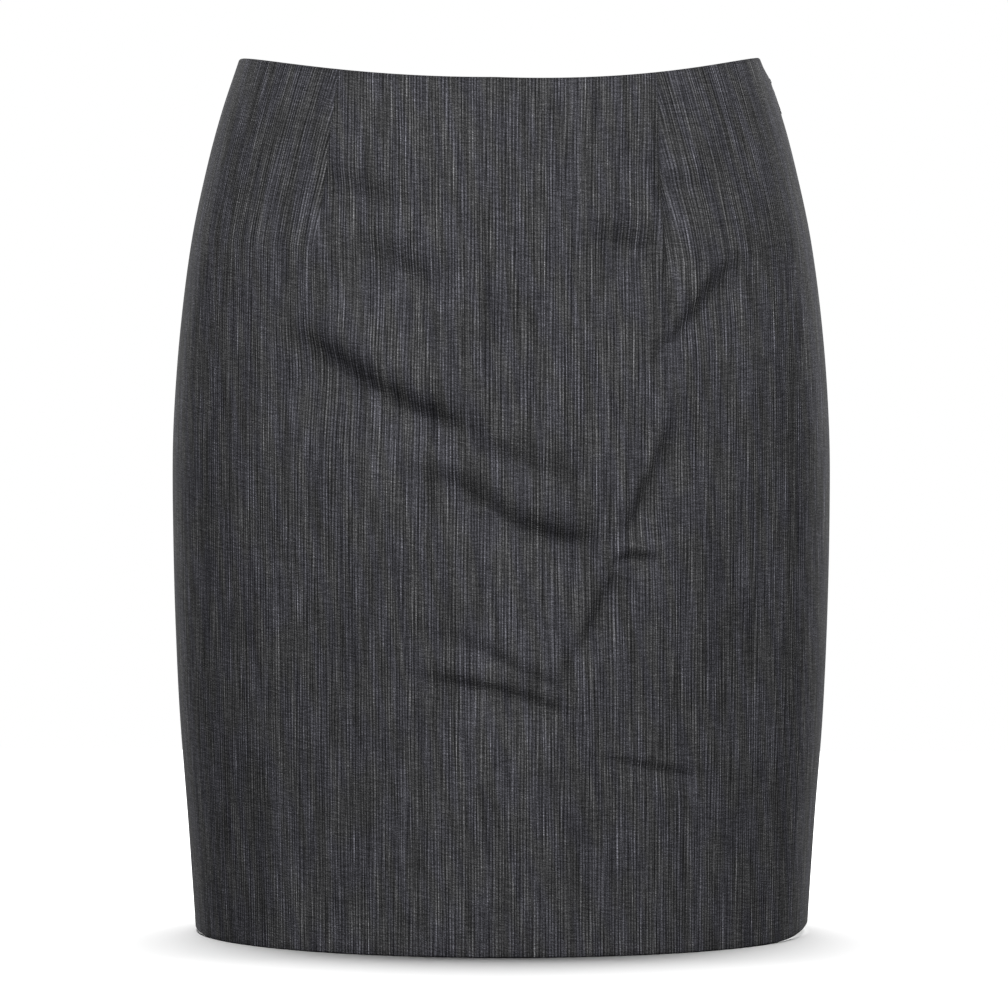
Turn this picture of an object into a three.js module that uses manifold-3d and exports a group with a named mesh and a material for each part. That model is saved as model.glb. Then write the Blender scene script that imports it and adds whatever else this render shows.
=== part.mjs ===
// A fitted straight skirt in a woven suiting, holding its worn, hollow form.
// Millimetres. +Z is up, the front faces -Y and the wearer's left is at +X.
// The origin is the centre of the ring that the waist edge makes at the side seams.
import * as THREE from 'three';
import { mergeVertices } from 'three/addons/utils/BufferGeometryUtils.js';
import Module from 'manifold-3d';

const wasm = await Module();
wasm.setup();

// ---------------------------------------------------------------- driving dimensions

const LENGTH = 480; // side seam, waist edge to hem
const WALL = 1.2; // suiting
const HEM_TURN = 35; // depth of the turned-up hem, which doubles the wall
const SEAM_GAP = 0.3; // between two panels at a side seam
const WAIST_DIP = { front: 15, back: 14 }; // fall of the waist edge, side to centre
const DIP_ROUNDNESS = 2.2; // how late that fall starts: a higher power is later
const WAIST_SAG = 5.4; // sag of the front waist edge towards the zip's side
const HEM_RISE = { zip: 5.6, other: 2, wide: 33, from: 380 }; // of the hem at the side seams
const QUARTER = Math.PI / 2;
const MERGE = 1e-4; // vertices closer than this are one

// Half width and depths of the body ring, a row for each height below the side waist.
const SECTIONS = [
  { drop: 0, half: 144, front: 104, back: 112 }, // waist
  { drop: 30, half: 154, front: 108, back: 114 },
  { drop: 60, half: 162, front: 111, back: 117 },
  { drop: 100, half: 170.5, front: 114, back: 120 },
  { drop: 150, half: 177, front: 117, back: 124 },
  { drop: 200, half: 180.5, front: 120, back: 127 },
  { drop: 245, half: 181, front: 121, back: 128 }, // fullest hip
  { drop: 300, half: 180, front: 120.5, back: 126 },
  { drop: 360, half: 177.5, front: 119, back: 122 },
  { drop: 420, half: 173, front: 118, back: 119 },
  { drop: LENGTH, half: 169, front: 117.5, back: 118 }, // hem
];

// The largest folds: soft troughs. Each runs from start over middle to end, given as
// [millimetres to the right of the centre line as the panel is looked at from outside, drop].
const FRONT_FOLDS = [
  { name: 'hip drag', start: [-104, 151], middle: [-57, 180], end: [-10, 199], wide: 10, deep: 4.5 },
  { name: 'middle drag', start: [-47, 218], middle: [-4, 243], end: [53, 256], wide: 10, deep: 4 },
  { name: 'left hip', start: [129, 108], middle: [107, 142], end: [82, 163], wide: 9, deep: 2.5 },
  { name: 'left thigh', start: [94, 190], middle: [80, 235], end: [66, 262], wide: 9, deep: 2.5 },
  { name: 'left hook', start: [64, 270], middle: [52, 305], end: [37, 328], wide: 9, deep: 2.5 },
  { name: 'lower drag', start: [-46, 328], middle: [2, 337], end: [42, 349], wide: 9, deep: 2.2 },
];
const BACK_FOLDS = [
  { name: 'under seat left', start: [-112, 252], middle: [-62, 274], end: [-12, 276], wide: 14, deep: 4 },
  { name: 'under seat right', start: [22, 290], middle: [66, 284], end: [108, 264], wide: 14, deep: 3.5 },
];
const FOLD_UNDERSIDE = 1.8; // a trough's lower slope is this much longer than its upper one
const FOLD_STEPS = 12; // straight steps along a fold's line
const FOLD_ENDS = { start: 0.12, run: 0.76 }; // the share of half a sine wave that a fold's depth follows

// Rows of the panels' grids: even steps, each run going on to its own drop.
const EDGE_RUNS = [
  { to: 8, steps: 2 },
  { to: 18, steps: 2 },
  { to: 24, steps: 1 },
];
const HEM_STEP = 1; // height over which the wall thickens to the turned-up hem
const HEM_RUNS = [
  { to: LENGTH - HEM_TURN - HEM_STEP, steps: 3 },
  { to: LENGTH - HEM_TURN, steps: 1 },
  { to: LENGTH, steps: 1 },
];
const FRONT_RUNS = [...EDGE_RUNS, { to: 96, steps: 5 }, { to: 352, steps: 26 }, ...HEM_RUNS];
const BACK_RUNS = [...EDGE_RUNS, { to: 238, steps: 8 }, { to: 322, steps: 5 }, ...HEM_RUNS];
const FRONT_COLUMNS = 36;
const BACK_COLUMNS = 28;

// The concealed zip in the wearer's left side seam.
const ZIP = {
  top: 4, // tape, from the waist edge
  end: 190,
  coilTop: 18.2, // clear of the slider, whose inner corner leans down
  coilEnd: 186,
  tapeWide: 12,
  tapeThick: 1,
  coilHalf: 2.8,
  coilThick: 1.8,
  behind: 0.8, // clear of the panels' wall, which runs straight between its rows and columns
  clear: 0.45, // between the tapes' edges and the coil or slider
};
const STRIP = { rows: 12, columns: 2 }; // of a tape's or the coil's grid
const ZIP_STEP = 3; // the back panel's corner lies this much below the front's
const ZIP_STEP_ROUNDNESS = 12; // and the step fades as this power of the sine of the angle
const MOUTH = { half: 2.25, opens: [3.5, 8], shuts: [18.5, 24] }; // the edges part round the slider

// Slider and pull, about the pull's pivot bar. x points out of the cloth, z up the seam.
const SLIDER = { drop: 12, wide: 5.6, tall: 9, outer: -1.6, inner: -4, corner: 0.8 };
const ARCH = { thick: 1, half: 2.7, leg: 1, under: 0.1, over: 0.55, root: -2.2, corner: 0.3 };
const PULL = { wide: 3.4, thick: 0.7, bar: 0.45, long: 19, windowHalf: 0.9, windowEnd: 4.2, reach: 2 };
const PIVOT_X = -0.6; // the pivot bar's centre is sunk between the panels' edges
const CRANK = { starts: 2.2, ends: 6.2, lies: 0.65, tip: 0.45 }; // the pull steps out over the cloth here

// ---------------------------------------------------------------- the body's form

// A smooth curve through one named column of a table, by drop.
function smooth(rows, key, drop) {
  let i = 0;
  while (i < rows.length - 2 && drop > rows[i + 1].drop) i += 1;
  const [from, to] = [rows[i], rows[i + 1]];
  const before = rows[Math.max(i - 1, 0)];
  const after = rows[Math.min(i + 2, rows.length - 1)];
  const slope = (a, b) => (b[key] - a[key]) / (b.drop - a.drop);
  const span = to.drop - from.drop;
  const t = (drop - from.drop) / span;
  const leave = slope(before, to) * span * (t ** 3 - 2 * t ** 2 + t);
  const arrive = slope(from, after) * span * (t ** 3 - t ** 2);
  return from[key] + (to[key] - from[key]) * (3 * t ** 2 - 2 * t ** 3) + leave + arrive;
}

const side = (angle) => (Math.cos(angle) >= 0 ? 'front' : 'back');

// A point on the body: angle 0 is centre front and a quarter turn is the wearer's left.
function onBody(angle, drop, outward = 0) {
  const half = smooth(SECTIONS, 'half', drop);
  const depth = smooth(SECTIONS, side(angle), drop);
  const out = new THREE.Vector3(Math.sin(angle) / half, -Math.cos(angle) / depth, 0).normalize();
  return new THREE.Vector3(half * Math.sin(angle), -depth * Math.cos(angle), -drop)
    .addScaledVector(out, outward);
}

// The angle of a point a distance along the ring in front of the zip's seam line.
function seamAngle(distance, drop) {
  return QUARTER - distance / smooth(SECTIONS, distance >= 0 ? 'front' : 'back', drop);
}

// How far the waist edge lies below the side seams at an angle.
function waistDrop(angle) {
  const dip = WAIST_DIP[side(angle)] * Math.abs(Math.cos(angle)) ** DIP_ROUNDNESS;
  const near = Math.max(Math.sin(angle), 0);
  const step = ZIP_STEP * near ** ZIP_STEP_ROUNDNESS;
  const sag = WAIST_SAG * near * Math.cos(angle) ** 2;
  return dip + (side(angle) === 'back' ? step : sag);
}

// The depth of all the folds at a point of a panel, below the smooth body.
function foldDepth(folds, across, drop) {
  let depth = 0;
  for (const fold of folds) {
    const [start, middle, end] = [fold.start, fold.middle, fold.end].map((p) => new THREE.Vector2(...p));
    const line = new THREE.SplineCurve([start, middle, end]).getPoints(FOLD_STEPS);
    const nearest = line.reduce((best, point, i) => {
      const gap = Math.hypot(across - point.x, drop - point.y);
      return gap < best.gap ? { gap, along: i / (line.length - 1), below: drop > point.y } : best;
    }, { gap: Infinity });
    const reach = fold.wide * (nearest.below ? FOLD_UNDERSIDE : 1);
    const fade = Math.sin(Math.PI * (FOLD_ENDS.start + FOLD_ENDS.run * nearest.along));
    depth += fold.deep * fade * Math.exp(-((nearest.gap / reach) ** 2));
  }
  return depth;
}

// ---------------------------------------------------------------- cloth walls

const mix = THREE.MathUtils.lerp;
const ease = THREE.MathUtils.smoothstep;

// A closed wall: a box whose front and back grids are moved onto place(across, row, face).
// across is 0 to 1, row counts from the top, and face is 1 outside and 0 inside.
function wall(columns, rows, place) {
  const box = new THREE.BoxGeometry(1, 1, 1, columns, rows, 1);
  box.deleteAttribute('normal');
  box.deleteAttribute('uv');
  const spots = box.attributes.position;
  for (let i = 0; i < spots.count; i += 1) {
    const row = Math.round((0.5 - spots.getY(i)) * rows);
    const spot = place(spots.getX(i) + 0.5, row, spots.getZ(i) + 0.5);
    spots.setXYZ(i, spot.x, spot.y, spot.z);
  }
  return faceted(mergeVertices(box, MERGE));
}

function faceted(geometry) {
  geometry.computeVertexNormals();
  return geometry;
}

// The drops of a panel's rows, from its runs of even steps.
function rowDrops(runs) {
  const drops = [0];
  for (const run of runs) {
    const from = drops[drops.length - 1];
    for (let i = 1; i <= run.steps; i += 1) drops.push(mix(from, run.to, i / run.steps));
  }
  return drops;
}

// Half the gap between the two panels at the zip's seam.
function zipGap(drop) {
  const open = ease(drop, ...MOUTH.opens) * (1 - ease(drop, ...MOUTH.shuts));
  return SEAM_GAP / 2 + MOUTH.half * open;
}

// How far the hem is drawn up near a side seam, from a drop above it down to its edge.
function hemRise(angle, plain) {
  const high = Math.sin(angle) > 0 ? HEM_RISE.zip : HEM_RISE.other;
  const apart = Math.acos(Math.abs(Math.sin(angle))) * smooth(SECTIONS, side(angle), LENGTH);
  return high * Math.exp(-((apart / HEM_RISE.wide) ** 2)) * ease(plain, HEM_RISE.from, LENGTH);
}

// A panel between two side seams. turn is the angle at its middle, 0 or half a turn.
function panel(turn, columns, runs, folds) {
  const drops = rowDrops(runs);
  const zipEnd = turn === 0 ? 1 : 0;
  return wall(columns, drops.length - 1, (across, row, face) => {
    const plain = drops[row];
    const depth = smooth(SECTIONS, turn === 0 ? 'front' : 'back', plain);
    const trim = (end) => (end === zipEnd ? zipGap(plain) : SEAM_GAP / 2) / depth;
    const angle = turn + mix(-QUARTER + trim(0), QUARTER - trim(1), across);
    const drop = plain + waistDrop(angle) * (1 - plain / LENGTH) - hemRise(angle, plain);
    const out = onBody(angle, drop).x * Math.cos(turn);
    const thick = plain > LENGTH - HEM_TURN - HEM_STEP / 2 ? 2 * WALL : WALL;
    return onBody(angle, drop, -foldDepth(folds, out, drop) - thick * (1 - face));
  });
}

// A strip that follows the zip's seam inside the skirt, from and to being distances
// in front of the seam line.
function seamStrip(from, to, top, bottom, outer, thick) {
  return wall(STRIP.columns, STRIP.rows, (across, row, face) => {
    const drop = mix(top, bottom, row / STRIP.rows);
    return onBody(seamAngle(mix(from, to, across), drop), drop, -outer - thick * (1 - face));
  });
}

// ---------------------------------------------------------------- zip's hard pieces

function solid(geometry) {
  const bare = geometry.clone();
  bare.deleteAttribute('normal');
  bare.deleteAttribute('uv');
  const closed = mergeVertices(bare, MERGE);
  return new wasm.Manifold(new wasm.Mesh({
    numProp: 3,
    vertProperties: new Float32Array(closed.attributes.position.array),
    triVerts: new Uint32Array(closed.index.array),
  }));
}

function geometryOf(manifold) {
  const mesh = manifold.getMesh();
  const geometry = new THREE.BufferGeometry();
  geometry.setAttribute('position', new THREE.BufferAttribute(new Float32Array(mesh.vertProperties), 3));
  geometry.setIndex([...mesh.triVerts]);
  return faceted(geometry);
}

// A shape drawn as [out of the cloth, up the seam], made as thick as the seam is wide.
function sideways(shape, wide) {
  const plate = new THREE.ExtrudeGeometry(shape, { depth: wide, bevelEnabled: false });
  return plate.translate(0, 0, -wide / 2).rotateX(QUARTER);
}

// A shape drawn as [along the ring, up the seam], made as thick as it stands out.
function outwards(shape, from, to) {
  const plate = new THREE.ExtrudeGeometry(shape, { depth: to - from, bevelEnabled: false });
  return plate.rotateX(QUARTER).rotateZ(QUARTER).translate(from, 0, 0);
}

function outline(points) {
  return new THREE.Shape(points.map(([x, y]) => new THREE.Vector2(x, y)));
}

function rectangle(left, right, bottom, top) {
  return outline([[left, bottom], [right, bottom], [right, top], [left, top]]);
}

// A rectangle with its four corners cut.
function clipped(left, right, bottom, top, cut) {
  return outline([
    [left + cut, bottom], [right - cut, bottom], [right, bottom + cut], [right, top - cut],
    [right - cut, top], [left + cut, top], [left, top - cut], [left, bottom + cut],
  ]);
}

// The slider: a body behind the seam and an arch that stands out between the edges.
function sliderGeometry() {
  const { wide, tall, outer, inner, corner } = SLIDER;
  const body = outwards(clipped(-wide / 2, wide / 2, -tall / 2, tall / 2, corner), inner, outer);
  const arch = clipped(ARCH.root, ARCH.over, -ARCH.half, ARCH.half, ARCH.corner);
  const inside = ARCH.half - ARCH.leg;
  arch.holes.push(rectangle(outer, ARCH.under, -inside, inside));
  return geometryOf(solid(body).add(solid(sideways(arch, ARCH.thick))));
}

// The pull: a cranked plate with a round end, hung by the bar over its window.
function pullGeometry() {
  const { wide, thick, bar, long, windowHalf, windowEnd, reach } = PULL;
  const middle = [[PIVOT_X, bar], [PIVOT_X, -CRANK.starts], [CRANK.lies, -CRANK.ends], [CRANK.tip, -long]];
  const outer = middle.map(([x, z]) => [x + thick / 2, z]).reverse();
  const profile = outline([...middle.map(([x, z]) => [x - thick / 2, z]), ...outer]);
  const face = new THREE.Shape();
  const half = wide / 2;
  face.moveTo(-half, bar);
  face.lineTo(-half, half - long);
  face.absarc(0, half - long, half, Math.PI, 2 * Math.PI, false);
  face.lineTo(half, bar);
  face.closePath();
  face.holes.push(rectangle(-windowHalf, windowHalf, -windowEnd, -bar));
  return geometryOf(solid(sideways(profile, wide)).intersect(solid(outwards(face, -reach, reach))));
}

// ---------------------------------------------------------------- the scene

const suiting = new THREE.MeshStandardMaterial({ color: 0x414144, roughness: 0.95, metalness: 0 });
const tape = new THREE.MeshStandardMaterial({ color: 0x242427, roughness: 0.9, metalness: 0 });
const nylon = new THREE.MeshStandardMaterial({ color: 0x1d1d20, roughness: 0.5, metalness: 0 });
const enamel = new THREE.MeshStandardMaterial({ color: 0x2b2b2e, roughness: 0.4, metalness: 0.3 });

function named(name, geometry, material) {
  const mesh = new THREE.Mesh(geometry, material);
  mesh.name = name;
  return mesh;
}

const skirt = new THREE.Group();
skirt.add(named('front_panel', panel(0, FRONT_COLUMNS, FRONT_RUNS, FRONT_FOLDS), suiting));
skirt.add(named('back_panel', panel(Math.PI, BACK_COLUMNS, BACK_RUNS, BACK_FOLDS), suiting));

const behind = WALL + ZIP.behind;
const tapeEdge = ZIP.coilHalf + ZIP.clear;
const tapes = [
  { name: 'zip_tape_front', from: tapeEdge + ZIP.tapeWide, to: tapeEdge },
  { name: 'zip_tape_back', from: -tapeEdge, to: -tapeEdge - ZIP.tapeWide },
];
for (const { name, from, to } of tapes) {
  skirt.add(named(name, seamStrip(from, to, ZIP.top, ZIP.end, behind, ZIP.tapeThick), tape));
}
const { coilHalf, coilThick, coilTop, coilEnd } = ZIP;
const coil = seamStrip(coilHalf, -coilHalf, coilTop, coilEnd, behind, coilThick);
skirt.add(named('zip_coil', coil, nylon));

// The slider's group stands on the seam line, turned to lie along the sloping side.
const head = new THREE.Group();
const rise = onBody(QUARTER, SLIDER.drop + 1).x - onBody(QUARTER, SLIDER.drop - 1).x;
head.position.copy(onBody(QUARTER, SLIDER.drop));
head.rotation.y = -Math.atan2(rise, 2);
head.add(named('zip_slider', sliderGeometry(), enamel));
head.add(named('zip_pull', pullGeometry(), enamel));
skirt.add(head);

export default skirt;
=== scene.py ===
# %% [markdown]
# # A fitted straight skirt
# A straight skirt is a tube of cloth that is shaped by its cut: darts take the cloth in at the waist, and
# the side seams curve over the hip. It is held here in the hollow form that it has when it is worn.
# The construction comes from the imported model: where the waist is, how long and wide the skirt is, and
# where the zip sits. This script makes the cloth fine enough to look at, and gives it its finish.

# %% Load the imported model
import math

import bmesh
import bpy
from mathutils import Matrix, Vector, noise


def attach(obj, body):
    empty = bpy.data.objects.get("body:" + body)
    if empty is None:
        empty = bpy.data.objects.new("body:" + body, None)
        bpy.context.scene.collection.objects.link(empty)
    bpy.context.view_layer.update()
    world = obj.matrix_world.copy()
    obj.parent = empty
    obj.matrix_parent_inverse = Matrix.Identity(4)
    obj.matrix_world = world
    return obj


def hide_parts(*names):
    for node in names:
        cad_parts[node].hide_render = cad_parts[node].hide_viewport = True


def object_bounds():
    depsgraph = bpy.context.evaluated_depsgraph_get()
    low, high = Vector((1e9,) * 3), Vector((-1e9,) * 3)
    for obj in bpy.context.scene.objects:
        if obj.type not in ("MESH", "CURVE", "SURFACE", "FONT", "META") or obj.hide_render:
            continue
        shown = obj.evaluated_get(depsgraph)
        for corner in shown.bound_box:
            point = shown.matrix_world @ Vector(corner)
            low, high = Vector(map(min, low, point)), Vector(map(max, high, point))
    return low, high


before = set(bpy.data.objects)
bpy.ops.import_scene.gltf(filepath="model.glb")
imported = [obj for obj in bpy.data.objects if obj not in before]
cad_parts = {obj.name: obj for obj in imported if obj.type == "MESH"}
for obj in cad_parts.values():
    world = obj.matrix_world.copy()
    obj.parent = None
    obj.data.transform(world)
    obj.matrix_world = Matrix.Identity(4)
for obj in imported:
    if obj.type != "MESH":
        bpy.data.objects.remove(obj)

MM = 0.001
cad_low, cad_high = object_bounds()
print("CAD box in mm:", [round(x / MM, 1) for x in (cad_high - cad_low)])

# %% [markdown]
# ## Camera
# A long lens far away keeps the two sides nearly parallel. The camera stands below the waist, so the
# waist edge reads as a shallow dip and the hem as a rounder one, and a little to the wearer's left.

# %% Camera
CAMERA_AWAY = 2.63
CAMERA_SIDE = math.radians(2)
CAMERA_HEIGHT = -0.143
AIM = Vector((0.0017, 0, -0.2443))
LENS = 170.4

camera_data = bpy.data.cameras.new("camera")
camera_data.lens = LENS
camera = bpy.data.objects.new("camera", camera_data)
bpy.context.scene.collection.objects.link(camera)
bpy.context.scene.camera = camera
camera.location = (
    CAMERA_AWAY * math.sin(CAMERA_SIDE),
    -CAMERA_AWAY * math.cos(CAMERA_SIDE),
    CAMERA_HEIGHT,
)
camera.rotation_mode = "QUATERNION"
camera.rotation_quaternion = (camera.location - AIM).to_track_quat("Z", "Y")

# %% [markdown]
# ## Helpers for materials
# Colours are written as the sRGB hex values that a paint program shows, and turned to the linear light
# that Blender's shaders work in. One small function adds a node with its settings and its links.

# %% Material helpers
def linear(hex_colour):
    """An sRGB hex colour as linear red, green, blue and a full alpha."""
    channels = [int(hex_colour[i : i + 2], 16) / 255 for i in (1, 3, 5)]
    curve = [c / 12.92 if c <= 0.04045 else ((c + 0.055) / 1.055) ** 2.4 for c in channels]
    return (*curve, 1)


def add(tree, kind, inputs=None, **settings):
    """Adds a node. inputs maps a socket's name or number to a value or to another node's output."""
    node = tree.nodes.new(kind)
    for name, value in settings.items():
        setattr(node, name, value)
    for socket, value in (inputs or {}).items():
        if isinstance(value, bpy.types.NodeSocket):
            tree.links.new(value, node.inputs[socket])
        else:
            node.inputs[socket].default_value = value
    return node


def new_material(name):
    """An empty material with its output, and the tree to build in."""
    material = bpy.data.materials.new(name)
    material.use_nodes = True
    material.node_tree.nodes.clear()
    return material, material.node_tree


# %% [markdown]
# ## Studio
# The skirt hangs just over a white sweep. Dark cloth is hard to light: a bright floor and a bright room
# would fill every fold with light. So the sweep looks white but gives little light back to the cloth, and
# the room is nearly dark. Two large boxes high in front leave the folds' upper sides dark, and two narrow
# ones behind draw a pale rim down each side. A box of its own lights the sweep and leaves the hem's shadow.

# %% Floor
FLOOR_GAP = 0.1 * MM
FLOOR_HALF = 1.1
floor_mesh = bpy.data.meshes.new("floor")
shape = bmesh.new()
bmesh.ops.create_grid(shape, x_segments=1, y_segments=1, size=FLOOR_HALF)
bmesh.ops.translate(shape, vec=(0, 0, cad_low.z - FLOOR_GAP), verts=shape.verts)
shape.to_mesh(floor_mesh)
shape.free()
floor = bpy.data.objects.new("floor", floor_mesh)
bpy.context.scene.collection.objects.link(floor)

floor_paint, tree = new_material("matt white sweep")
seen = add(tree, "ShaderNodeLightPath")
white = add(
    tree,
    "ShaderNodeMix",
    {0: seen.outputs["Is Camera Ray"], 6: linear("#5a5a5a"), 7: linear("#f6f6f6")},
    data_type="RGBA",
)
paint = add(tree, "ShaderNodeBsdfDiffuse", {"Color": white.outputs[2]})
add(tree, "ShaderNodeOutputMaterial", {"Surface": paint.outputs[0]})
floor_mesh.materials.append(floor_paint)

# %% Light
MIDDLE = Vector((0, 0, (cad_low.z + cad_high.z) / 2))


def soft_box(name, place, size, power, lights_floor=False):
    """A rectangular area light. It looks at the skirt's middle, or straight down to light the floor."""
    data = bpy.data.lights.new(name, "AREA")
    data.shape = "RECTANGLE"
    data.size, data.size_y = size
    data.energy = power
    box = bpy.data.objects.new(name, data)
    box.location = MIDDLE + place
    if not lights_floor:
        box.rotation_euler = place.to_track_quat("Z", "Y").to_euler()
    box.visible_camera = False
    bpy.context.scene.collection.objects.link(box)
    linked = bpy.data.collections.new(name + " and the floor")
    linked.objects.link(floor)
    linked.collection_objects[0].light_linking.link_state = "INCLUDE" if lights_floor else "EXCLUDE"
    box.light_linking.receiver_collection = linked


def toward(turn, height, away):
    """A place turn degrees round from the front and height degrees up, seen from the skirt's middle."""
    turn, height = math.radians(turn), math.radians(height)
    level = away * math.cos(height)
    return Vector((math.sin(turn) * level, -math.cos(turn) * level, math.sin(height) * away))


soft_box("key left", toward(-32, 46, 4.5), (1.6, 1.6), 174)
soft_box("key right", toward(36, 46, 4.5), (1.6, 1.6), 185)
soft_box("rim left", toward(-144, 12, 2.2), (0.5, 1.6), 54)
soft_box("rim right", toward(143, 12, 2.2), (0.5, 1.6), 70)
soft_box("floor light", Vector((0, 0.46, 2.4)), (2.6, 1.1), 170, lights_floor=True)

world = bpy.data.worlds.new("white studio")
bpy.context.scene.world = world
world.use_nodes = True
tree = world.node_tree
tree.nodes.clear()
seen = add(tree, "ShaderNodeLightPath")
level = add(tree, "ShaderNodeMix", {0: seen.outputs["Is Camera Ray"], 2: 0.06, 3: 1.0})
backdrop = add(tree, "ShaderNodeBackground", {"Color": (1, 1, 1, 1), "Strength": level.outputs[0]})
add(tree, "ShaderNodeOutputWorld", {"Surface": backdrop.outputs[0]})

bpy.context.scene.view_settings.view_transform = "Standard"

# %% [markdown]
# ## The body's form
# Each height of the skirt is an oval ring: a half width, a depth to the front and a depth to the back.
# The rows below are those of the construction, in millimetres below the waist edge at the side seams,
# and a smooth curve runs through each column. Angle 0 is centre front, and a quarter turn is the wearer's
# left side.

# %% Rings
LENGTH = round(-cad_low.z / MM)
SECTIONS = [
    {"drop": 0, "half": 144, "front": 104, "back": 112},
    {"drop": 30, "half": 154, "front": 108, "back": 114},
    {"drop": 60, "half": 162, "front": 111, "back": 117},
    {"drop": 100, "half": 170.5, "front": 114, "back": 120},
    {"drop": 150, "half": 177, "front": 117, "back": 124},
    {"drop": 200, "half": 180.5, "front": 120, "back": 127},
    {"drop": 245, "half": 181, "front": 121, "back": 128},
    {"drop": 300, "half": 180, "front": 120.5, "back": 126},
    {"drop": 360, "half": 177.5, "front": 119, "back": 122},
    {"drop": 420, "half": 173, "front": 118, "back": 119},
    {"drop": LENGTH, "half": 169, "front": 117.5, "back": 118},
]
WAIST_DIP = {"front": 15, "back": 14}
DIP_ROUNDNESS = 2.2
WAIST_SAG = 5.4
ZIP_STEP = {"deep": 3, "roundness": 12}
HEM_RISE = {"zip": 5.6, "other": 2, "wide": 33, "from": 380}
QUARTER = math.pi / 2


def smooth(rows, key, drop):
    """A smooth curve through one column of a table, by drop."""
    i = 0
    while i < len(rows) - 2 and drop > rows[i + 1]["drop"]:
        i += 1
    start, end = rows[i], rows[i + 1]
    before, after = rows[max(i - 1, 0)], rows[min(i + 2, len(rows) - 1)]
    span = end["drop"] - start["drop"]
    t = (drop - start["drop"]) / span
    leaving = (end[key] - before[key]) / (end["drop"] - before["drop"]) * span
    arriving = (after[key] - start[key]) / (after["drop"] - start["drop"]) * span
    return (
        start[key]
        + (end[key] - start[key]) * (3 * t**2 - 2 * t**3)
        + leaving * (t**3 - 2 * t**2 + t)
        + arriving * (t**3 - t**2)
    )


def side_of(angle):
    return "front" if math.cos(angle) >= 0 else "back"


def on_body(angle, drop, outward=0):
    """A point of the body in metres, moved outward by some millimetres."""
    half, depth = smooth(SECTIONS, "half", drop), smooth(SECTIONS, side_of(angle), drop)
    out = Vector((math.sin(angle) / half, -math.cos(angle) / depth, 0)).normalized()
    ring = Vector((half * math.sin(angle), -depth * math.cos(angle), -drop))
    return (ring + out * outward) * MM


def waist_drop(angle):
    """How far the waist edge lies below the side seams. The zip's side has a small step and a sag."""
    dip = WAIST_DIP[side_of(angle)] * abs(math.cos(angle)) ** DIP_ROUNDNESS
    toward_zip = max(math.sin(angle), 0)
    if side_of(angle) == "back":
        return dip + ZIP_STEP["deep"] * toward_zip ** ZIP_STEP["roundness"]
    return dip + WAIST_SAG * toward_zip * math.cos(angle) ** 2


# %% [markdown]
# ## Folds
# A close skirt shows where it is pulled: drag lines run from the hips to the middle, and the cloth hangs
# in soft bends under them. Each fold is a trough along a smooth curve through a few places, listed from
# left to right. Its upper side is steep and catches no light, and its under side is long and gentle. The
# places are millimetres across from the panel's centre line, as it is looked at from outside, and
# millimetres down from the waist. A fold of less than no depth is a ridge. The hem is drawn up a little
# at the side seams.

# %% Fold tables
FRONT_FOLDS = [
    {
        "places": [(-113, 141), (-75, 168), (-33, 191), (8, 202)],
        "wide": 8.6,
        "deep": 6.3,
        "ends": (0.28, 0.4),
    },
    {"places": [(-24, 193), (-2, 208), (28, 220), (56, 228)], "wide": 8.6, "deep": 3.3, "ends": (0.4, 0.5)},
    {
        "places": [(-62, 218), (-27, 224), (-7, 234), (14, 248), (40, 256), (68, 258)],
        "wide": 8.4,
        "deep": 5.0,
        "ends": (0.35, 0.25),
    },
    {"places": [(77, 169), (97, 149), (113, 127), (133, 101)], "wide": 3.7, "deep": 3.5, "ends": (0.6, 0.3)},
    {"places": [(66, 264), (76, 240), (89, 207), (98, 176)], "wide": 4.1, "deep": 3.9, "ends": (0.35, 0.55)},
    {"places": [(22, 349), (44, 316), (57, 290), (65, 268)], "wide": 3.9, "deep": 3.2, "ends": (0.6, 0.3)},
    {"places": [(58, 275), (70, 267), (84, 268), (98, 271)], "wide": 2.8, "deep": 1.8, "ends": (0.35, 0.5)},
    {"places": [(-58, 326), (-18, 333), (17, 341), (46, 352)], "wide": 4.8, "deep": 2.7, "ends": (0.45, 0.2)},
    {"places": [(-74, 302), (-20, 309), (12, 325), (46, 341)], "wide": 3.6, "deep": 1.6, "ends": (0.7, 0.2)},
    {"places": [(42, 370), (84, 379), (116, 386)], "wide": 2.6, "deep": 1.2, "ends": (0.4, 0.3)},
    {"places": [(-100, 56), (-66, 74), (-28, 84)], "wide": 8, "deep": 2.5, "ends": (0.4, 0.6)},
    {"places": [(-78, 90), (-48, 112), (-12, 130)], "wide": 10, "deep": 3.7, "ends": (0.5, 0.5)},
    {"places": [(42, 88), (66, 98), (92, 104)], "wide": 10, "deep": 4, "ends": (0.5, 0.35)},
    {"places": [(84, 68), (97, 68), (116, 73)], "wide": 5, "deep": 1.6, "ends": (0.4, 0.4)},
    {"places": [(91, 128), (91, 104), (88, 66), (85, 26)], "wide": 1.9, "deep": 3.2, "ends": (0.3, 0.35)},
    {"places": [(-42, 207), (-30, 213), (-16, 223)], "wide": 4, "deep": -0.9, "ends": (0.5, 0.5)},
    {"places": [(-106, 142), (-101, 108), (-94, 64)], "wide": 4, "deep": -1.2, "ends": (0.3, 0.3)},
]
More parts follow.
